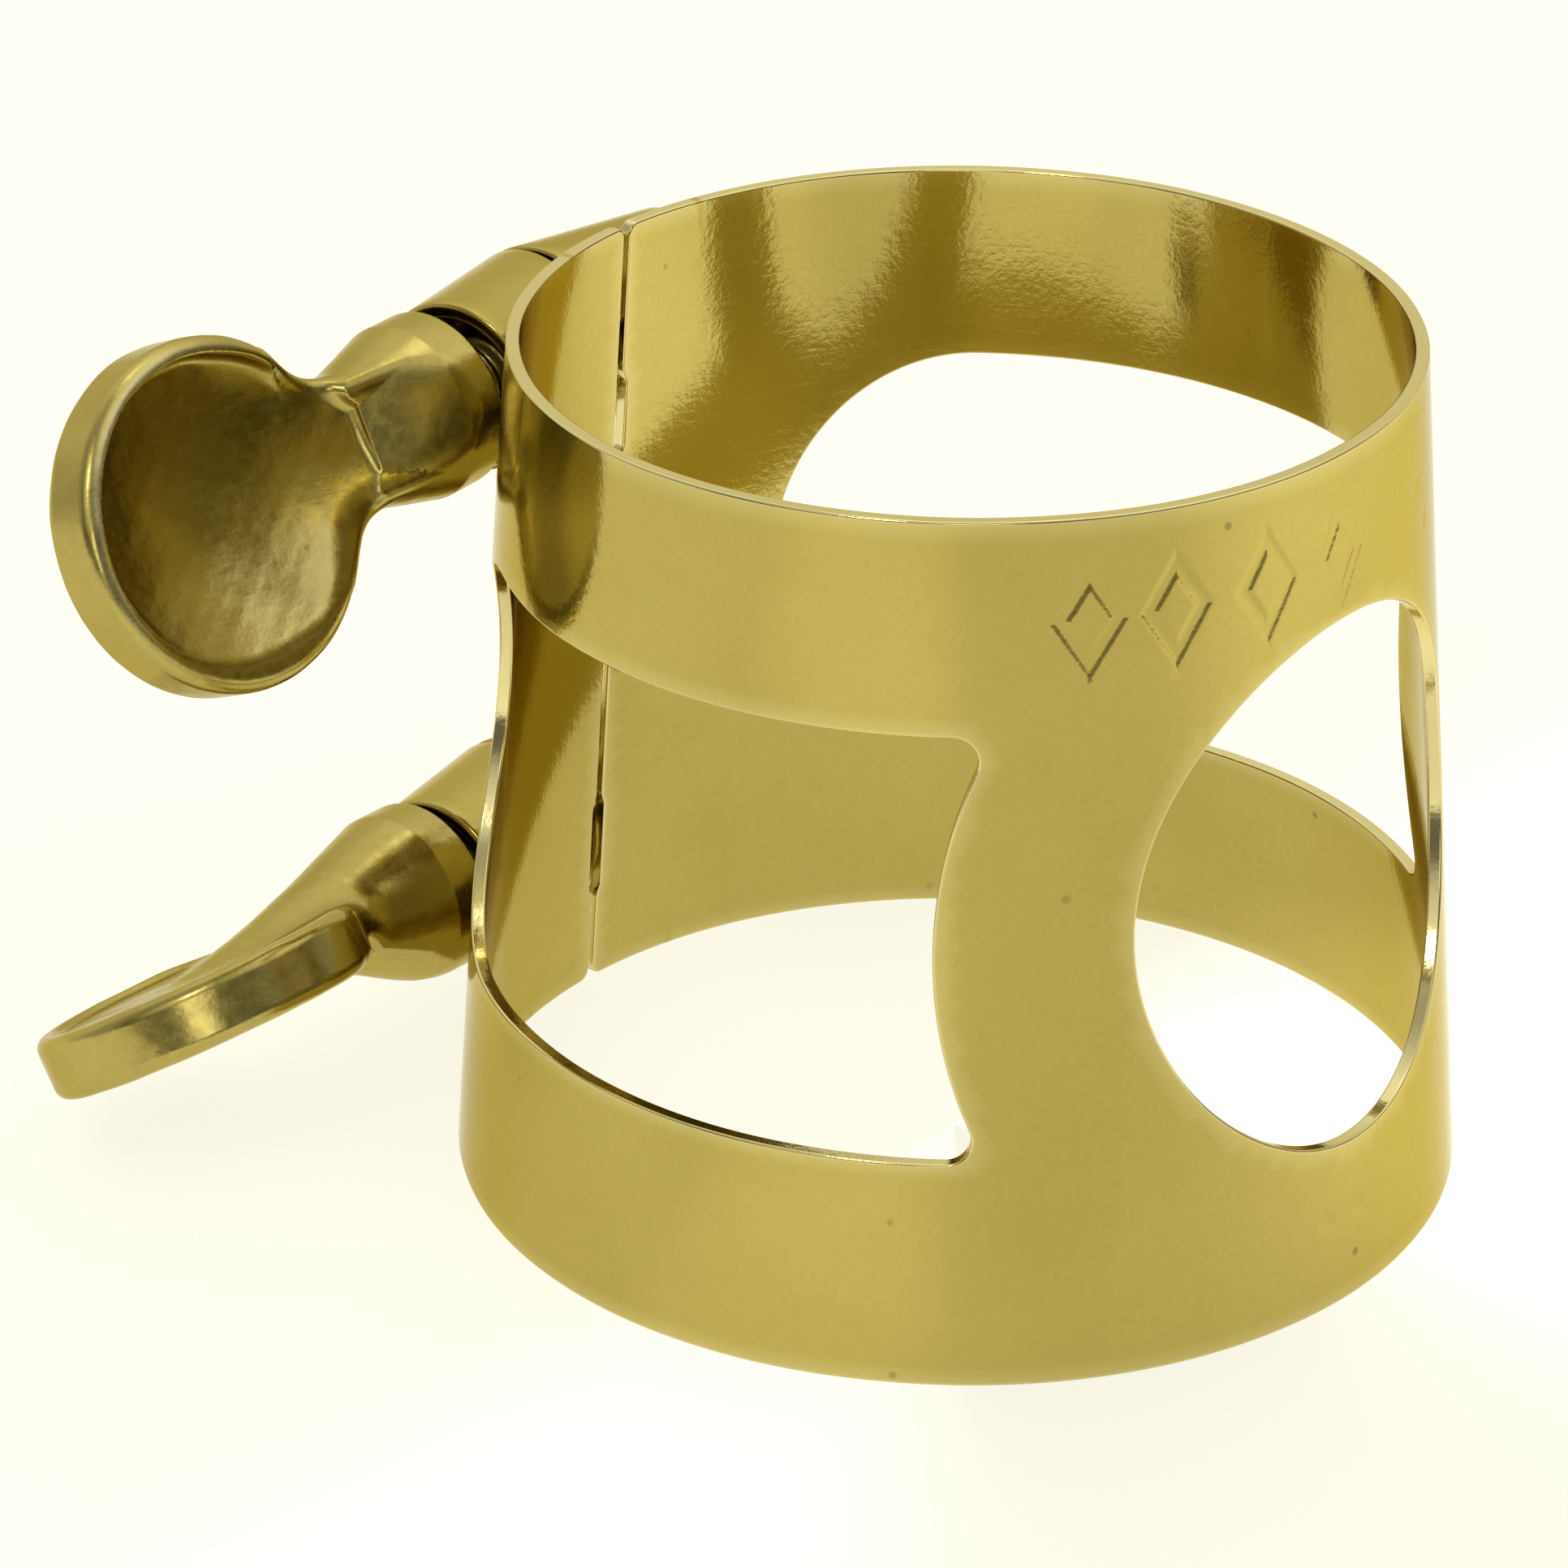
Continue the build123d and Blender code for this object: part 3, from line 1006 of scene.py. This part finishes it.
class Nodes:
    """Short hand for building a material's node tree."""

    def __init__(self, name):
        self.material = bpy.data.materials.new(name)
        self.material.use_nodes = True
        self.tree = self.material.node_tree
        self.tree.nodes.clear()
        self.output = self.add("ShaderNodeOutputMaterial")
        self.shader = self.add("ShaderNodeBsdfPrincipled")
        self.link(self.shader, "BSDF", self.output, "Surface")

    def add(self, kind, **settings):
        node = self.tree.nodes.new(kind)
        for key, value in settings.items():
            setattr(node, key, value)
        return node

    def link(self, a, out, b, into):
        self.tree.links.new(a.outputs[out], b.inputs[into])

    def coordinates(self, stretch=(1, 1, 1), shift=(0, 0, 0)):
        """Object coordinates in millimetres, stretched."""
        source = self.add("ShaderNodeTexCoord")
        mapping = self.add("ShaderNodeMapping")
        fill(mapping, Scale=[k / MM for k in stretch], Location=shift)
        self.link(source, "Object", mapping, "Vector")
        return mapping

    def noise(self, scale, detail=3.0, rough=0.5, stretch=(1, 1, 1), shift=(0, 0, 0)):
        node = self.add("ShaderNodeTexNoise")
        fill(node, Scale=scale, Detail=detail, Roughness=rough)
        self.link(self.coordinates(stretch, shift), "Vector", node, "Vector")
        return node

    def ramp(self, source, out, low, high, start=0.0, end=1.0):
        """Straight ramp of a value from start at low to end at high, held outside."""
        node = self.add("ShaderNodeMapRange")
        fill(node, From_Min=low, From_Max=high, To_Min=start, To_Max=end)
        self.link(source, out, node, "Value")
        return node

    def math(self, operation, a, b):
        node = self.add("ShaderNodeMath", operation=operation)
        for i, x in enumerate((a, b)):
            if isinstance(x, tuple):
                self.tree.links.new(x[0].outputs[x[1]], node.inputs[i])
            else:
                node.inputs[i].default_value = x
        return node

    def mix(self, factor, a, b):
        """Colour a where factor is 0 and b where it is 1; each a colour or a (node, output)."""
        node = self.add("ShaderNodeMix", data_type="RGBA")
        for value, index in ((factor, 0), (a, 6), (b, 7)):
            if len(value) == 2:
                self.tree.links.new(value[0].outputs[value[1]], node.inputs[index])
            else:
                node.inputs[index].default_value = value
        return node


EDGE_TINT = (0.75, 0.66, 0.36, 1.0)  # keeps brass yellow where it is seen edge-on
DIRT = (0.09, 0.07, 0.02, 1.0)
# pale burnished brass, for worn sheet edges and for the painted highlight on the thumb heads
BURNISHED_AND_HIGHLIGHT = (0.86, 0.77, 0.42, 1.0)
BUMP_DEPTH = 0.00004


def brass(name, base, shade, roughness, grain, bump, specks=0.5, coat=0.25, seed=0.0):
    """Lacquered brass: clouded colour, fine grain, faint scratches, specks, and a pale colour laid
    by a vertex attribute: worn edges on the sheet, a painted highlight on the thumb heads.
    """
    n = Nodes(name)
    clouds = n.noise(0.16, 3.0, 0.55, shift=(seed, 0, 0))
    cloud = n.ramp(clouds, "Fac", 0.35, 0.7)
    colour = n.mix((cloud, 0), base, shade)
    fine = n.noise(grain, 2.0, 0.6, shift=(0, seed, 0))
    mottled = n.ramp(fine, "Fac", 0.3, 0.75)
    half = n.math("MULTIPLY", (mottled, 0), 0.22)
    darker = tuple(0.82 * c for c in shade[:3]) + (1.0,)
    colour = n.mix((half, 0), (colour, 2), darker)
    # a few dark specks of dirt under the lacquer
    cells = n.add("ShaderNodeTexVoronoi", feature="F1")
    fill(cells, Scale=0.55)
    n.link(n.coordinates(shift=(0, 0, seed)), "Vector", cells, "Vector")
    spot = n.ramp(cells, "Distance", 0.05, 0.09, 1.0, 0.0)
    rare = n.ramp(n.noise(0.35, 1.0, 0.5, shift=(seed, 4, 1)), "Fac", 0.55, 0.6)
    spot = n.math("MULTIPLY", (spot, 0), (rare, 0))
    spot = n.math("MULTIPLY", (spot, 0), specks)
    colour = n.mix((spot, 0), (colour, 2), DIRT)
    # pale burnished colour: worn edges on the sheet, and on the thumb heads a painted highlight on
    # the lip and the lower dish
    wear_and_highlight_node = n.add("ShaderNodeAttribute", attribute_name="wear")
    edge = n.math("MULTIPLY", (wear_and_highlight_node, "Fac"), 0.65)
    colour = n.mix((edge, 0), (colour, 2), BURNISHED_AND_HIGHLIGHT)
    n.link(colour, 2, n.shader, "Base Color")

    scratch = n.noise(2.2, 2.0, 0.5, stretch=(0.25, 0.25, 3.0), shift=(1, seed, 2))
    lines = n.ramp(scratch, "Fac", 0.62, 0.7, 0.0, 1.0)
    low, high = roughness
    gloss = n.ramp(fine, "Fac", 0.3, 0.7, low, high)
    gloss = n.math("ADD", (gloss, 0), (n.math("MULTIPLY", (lines, 0), 0.03), 0))
    n.link(gloss, 0, n.shader, "Roughness")

    waves = n.noise(0.7, 2.0, 0.5, shift=(3, 1, seed))
    height = n.math("MULTIPLY", (waves, "Fac"), 2.0)
    height = n.math("ADD", (height, 0), (fine, "Fac"))
    height = n.math("SUBTRACT", (height, 0), (n.math("MULTIPLY", (lines, 0), 0.1), 0))
    relief = n.add("ShaderNodeBump")
    fill(relief, Strength=bump, Distance=BUMP_DEPTH)
    n.link(height, 0, relief, "Height")
    n.link(relief, "Normal", n.shader, "Normal")
    fill(n.shader, Metallic=1.0, Specular_Tint=EDGE_TINT, Coat_Weight=coat, Coat_Roughness=0.06)
    return n.material


def assign(obj, material, body=None, nodes=()):
    """Material, body and the CAD nodes that the piece stands for."""
    obj.data.materials.clear()
    obj.data.materials.append(material)
    if body:
        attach(obj, body)
    if nodes:
        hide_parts(*nodes)


BRASS_LIGHT = srgb(185, 167, 87)
BRASS_SHADE = srgb(178, 160, 80)

sheet_brass = brass("sheet_brass", BRASS_LIGHT, BRASS_SHADE, (0.09, 0.13), 5.0, 0.1)
tube_brass = brass("tube_brass", BRASS_LIGHT, BRASS_SHADE, (0.14, 0.2), 4.0, 0.12, seed=11.0)
cast_brass = brass(
    "cast_brass",
    srgb(184, 167, 92),
    srgb(168, 151, 76),
    (0.2, 0.3),
    3.0,
    0.2,
    specks=0.9,
    seed=23.0,
)
rod_brass = brass(
    "rod_brass", srgb(190, 172, 100), srgb(160, 142, 78), (0.3, 0.42), 6.0, 0.5, coat=0.0, seed=31.0
)
solder_brass = brass(
    "solder_brass", srgb(205, 190, 125), srgb(186, 170, 104), (0.25, 0.36), 4.0, 0.6, seed=43.0
)

# ---- The object
strip, near_lip, far_lip = build_band()
assign(strip, sheet_brass)
assign(near_lip, sheet_brass, "near_half", ["band_near_half"])
assign(far_lip, sheet_brass, "far_half", ["band_far_half"])
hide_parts("band_near_half", "band_far_half")
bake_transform(strip)

for level in LEVELS:
    key = level["name"]
    for side, body, kind in ((-1, "near_half", "head"), (1, "far_half", "threaded")):
        node = f"{key}_{kind}_barrel"
        assign(barrel(level, side), tube_brass, body, [node])
        assign(solder(level, side), solder_brass, body, [f"{node}_solder"])
    assign(
        shank(level), rod_brass, f"{key}_thumbscrew", [f"{key}_screw_shank"]
    )
for level, head in zip(LEVELS, build_heads()):
    key = level["name"]
    assign(head, cast_brass, f"{key}_thumbscrew", [f"{key}_thumb_head"])


# ---- Floor, light and camera
FLOOR_RADIUS = 260.0
FLOOR_DROP = -0.01
FLOOR_GLOW = 0.84
# azimuth, cosine where each pool starts and where it is full, and brightness added: painted pools
# of light in the floor's glow, and at 240 a painted shade towards the camera, where brightness is
# taken away
FLOOR_POOLS = [(196.0, 0.9, 1.0, 0.12), (318.0, 0.6, 0.98, 0.28), (240.0, 0.85, 0.99, -0.08)]
FLOOR_SHADES = [(0.27, 0.265, 0.235, 1.0), (0.285, 0.28, 0.25, 1.0)]
FLOOR_GLOW_COLOUR = (1.0, 0.985, 0.86, 1.0)


def floor():
    """Plain pale floor that glows a little, so that it stays pale beside and inside the band."""
    turns = np.radians(np.arange(0, 360, 5))
    rim = np.stack([np.cos(turns), np.sin(turns), np.zeros_like(turns)], axis=-1)
    points = rim * FLOOR_RADIUS + (0, 0, FLOOR_DROP)
    obj = make_object("floor", points, [tuple(range(len(turns)))])
    n = Nodes("floor_paper")
    mottle = n.noise(0.02, 2.0, 0.5)
    tone = n.ramp(mottle, "Fac", 0.3, 0.7)
    colour = n.mix((tone, 0), *FLOOR_SHADES)
    n.link(colour, 2, n.shader, "Base Color")
    fill(n.shader, Roughness=0.9, Specular_IOR_Level=0.1, Emission_Color=FLOOR_GLOW_COLOUR)
    # painted pools of light, and one painted shade, in the floor's glow round the object
    across = n.add("ShaderNodeVectorMath", operation="NORMALIZE")
    n.link(n.coordinates(), "Vector", across, 0)
    glow = None
    for azimuth, start, full, strength in FLOOR_POOLS:
        facing = n.add("ShaderNodeVectorMath", operation="DOT_PRODUCT")
        n.link(across, 0, facing, 0)
        facing.inputs[1].default_value = direction(azimuth, 0)
        pool = n.ramp(facing, "Value", start, full, 0.0, strength)
        pool.interpolation_type = "SMOOTHSTEP"
        glow = n.math("ADD", (glow, 0), (pool, 0)) if glow else n.math("ADD", (pool, 0), FLOOR_GLOW)
    n.link(glow, 0, n.shader, "Emission Strength")
    obj.data.materials.append(n.material)


PALE = (1.0, 0.985, 0.9, 1.0)
LAMP_COLOUR = (1.0, 0.98, 0.9)

# Soft lights and dark corners of the room: azimuth and elevation of the middle, cosine of the
# angle where each starts and where it is full, and brightness added
LOBES = [
    ((40.0, 15.0), 0.10, 0.80, 0.72),  # backdrop
    ((0.0, 90.0), 0.40, 0.85, 0.3),  # ceiling
    ((125.0, 8.0), 0.75, 0.97, 0.35),  # left of the object
    ((190.0, 40.0), 0.88, 0.99, 0.6),  # window left of the camera
    ((300.0, 54.0), 0.80, 0.97, 0.65),  # high on the right
    ((221.0, 19.0), 0.972, 0.992, 2.2),  # small lamp by the camera
]
ROOM = 0.16
LOWER_ROOM = 0.35
HORIZON = (-0.02, 0.03)  # heights on the unit sphere between which the lower room gives way
# azimuth, elevation, distance, size and power of each soft lamp
LAMPS = {"key": (192, 48, 260, (40, 40), 0.06), "top": (40, 75, 260, (90, 90), 0.03)}


def direction(azimuth, elevation):
    """Unit vector at an azimuth from +X and an elevation over the floor."""
    a, e = math.radians(azimuth), math.radians(elevation)
    return math.cos(a) * math.cos(e), math.sin(a) * math.cos(e), math.sin(e)


def area_light(name, azimuth, elevation, distance, size, power):
    """Soft lamp that faces the object; distance and size in millimetres."""
    data = bpy.data.lights.new(name, "AREA")
    data.shape = "RECTANGLE"
    data.size, data.size_y = size[0] * MM, size[1] * MM
    data.energy = power
    data.color = LAMP_COLOUR
    obj = bpy.data.objects.new(name, data)
    away = Vector(direction(azimuth, elevation))
    obj.location = (Vector((0, 0, 12)) + away * distance) * MM
    obj.rotation_euler = (-away).to_track_quat("-Z", "Y").to_euler()
    bpy.context.scene.collection.objects.link(obj)
    return obj


def surroundings():
    """Room with soft lights; the camera itself sees only a plain pale backdrop."""
    world = bpy.data.worlds.new("studio")
    world.use_nodes = True
    tree = world.node_tree
    nodes = tree.nodes
    background = nodes["Background"]
    source = nodes.new("ShaderNodeTexCoord")
    split = nodes.new("ShaderNodeSeparateXYZ")
    tree.links.new(source.outputs["Generated"], split.inputs[0])
    level = nodes.new("ShaderNodeMapRange")
    fill(level, From_Min=HORIZON[0], From_Max=HORIZON[1], To_Min=LOWER_ROOM, To_Max=ROOM)
    tree.links.new(split.outputs["Z"], level.inputs["Value"])
    total = level.outputs[0]
    for place, start, full, strength in LOBES:
        facing = nodes.new("ShaderNodeVectorMath")
        facing.operation = "DOT_PRODUCT"
        facing.inputs[1].default_value = direction(*place)
        tree.links.new(source.outputs["Generated"], facing.inputs[0])
        lobe = nodes.new("ShaderNodeMapRange")
        lobe.interpolation_type = "SMOOTHSTEP"
        fill(lobe, From_Min=start, From_Max=full, To_Min=0.0, To_Max=strength)
        tree.links.new(facing.outputs["Value"], lobe.inputs["Value"])
        add = nodes.new("ShaderNodeMath")
        tree.links.new(total, add.inputs[0])
        tree.links.new(lobe.outputs[0], add.inputs[1])
        total = add.outputs[0]
    path = nodes.new("ShaderNodeLightPath")
    seen = nodes.new("ShaderNodeMix")
    seen.data_type = "FLOAT"
    seen.inputs[3].default_value = 1.0
    tree.links.new(path.outputs["Is Camera Ray"], seen.inputs[0])
    tree.links.new(total, seen.inputs[2])
    fill(background, Color=PALE)
    tree.links.new(seen.outputs[0], background.inputs["Strength"])
    bpy.context.scene.world = world


CAMERA_LENS = 150.49
CAMERA_TARGET = (-3.184, 3.863, 11.086)
CAMERA_DISTANCE = 186.65
CAMERA_AZIMUTH = 219.5
CAMERA_ELEVATION = 26.648
CAMERA_ROLL = 0.119


def camera():
    """Camera at the photo's viewing angle."""
    data = bpy.data.cameras.new("camera")
    data.sensor_width = 36.0
    data.lens = CAMERA_LENS
    data.clip_start, data.clip_end = 0.01, 10.0
    obj = bpy.data.objects.new("camera", data)
    back = Vector(direction(CAMERA_AZIMUTH, CAMERA_ELEVATION))
    obj.location = (Vector(CAMERA_TARGET) + back * CAMERA_DISTANCE) * MM
    look = (-back).to_track_quat("-Z", "Y").to_matrix()
    roll = Matrix.Rotation(math.radians(CAMERA_ROLL), 3, "Z")
    obj.rotation_euler = (look @ roll).to_euler()
    bpy.context.scene.collection.objects.link(obj)
    bpy.context.scene.camera = obj


floor()
surroundings()
for name, lamp in LAMPS.items():
    area_light(name, *lamp)
camera()
bpy.context.scene.view_settings.view_transform = "Standard"
